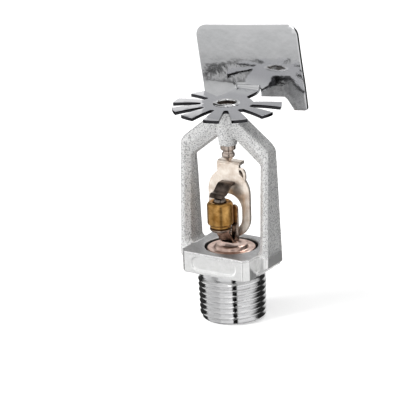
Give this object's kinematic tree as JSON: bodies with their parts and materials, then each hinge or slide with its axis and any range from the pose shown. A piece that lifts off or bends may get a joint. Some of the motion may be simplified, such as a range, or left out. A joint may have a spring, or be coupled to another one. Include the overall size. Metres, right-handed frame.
{
  "type": "fire sprinkler head",
  "caption": "Horizontal sidewall sprinkler head: threaded yoke frame, tined deflector with a rear canopy, and a fusible solder trigger that holds the outlet cap shut until it melts.",
  "frame": {"origin": "centre of the inlet end of the male pipe thread, where the inlet bore opens", "axes": "+Z along the thread axis from the inlet to the deflector; -Y is the side of the solder capsule and +Y the side of the canopy; +X points to one yoke arm"},
  "size_m": [0.0394, 0.0344, 0.0923],
  "materials": {
    "cast_frame": "chrome plate over a sand-blasted casting, bright on the thread and wrench block and grainy on the arms",
    "deflector_sheet": "polished chrome plate on pressed sheet",
    "nickel": "warm satin nickel",
    "dark_nickel": "dark tarnished nickel",
    "brass": "turned brass",
    "steel_ball": "polished stainless steel",
    "solder": "dull eutectic solder",
    "cap_metal": "nickel-plated copper",
    "film": "white fluoropolymer film"
  },
  "bodies": {
    "frame": {"frame": "cast_frame", "deflector": "deflector_sheet", "load_screw": "nickel"},
    "strut": {"strut": "nickel"},
    "lever": {"lever": "dark_nickel", "capsule_cylinder": "brass", "solder_pellet": "solder"},
    "ball": {"capsule_ball": "steel_ball"},
    "cap": {"cap": "cap_metal", "spring_washer": "dark_nickel", "seal_film": "film"}
  },
  "joints": [
    {"name": "strut_swing", "type": "hinge", "parent": "frame", "child": "strut", "pos_m": [0, 0, 0.0483], "axis": [-1, 0, 0], "range_deg": [0, 70]},
    {"name": "lever_fold", "type": "hinge", "parent": "strut", "child": "lever", "pos_m": [0, 0, 0.02518], "axis": [-1, 0, 0], "range_deg": [0, 9]},
    {"name": "ball_sink", "type": "slide", "parent": "lever", "child": "ball", "axis": [0, 0, -1], "range_m": [0, 0.0009], "deforming": ["solder_pellet"]},
    {"name": "cap_lift", "type": "slide", "parent": "frame", "child": "cap", "axis": [0, 0, 1], "range_m": [0, 0.0025]}
  ],
  "couplings": [
    {"joint": "lever_fold", "follows": "strut_swing", "ratio": 0.12857},
    {"joint": "ball_sink", "follows": "strut_swing", "m_per_rad": 0.000736},
    {"joint": "cap_lift", "follows": "strut_swing", "m_per_rad": 0.002}
  ]
}
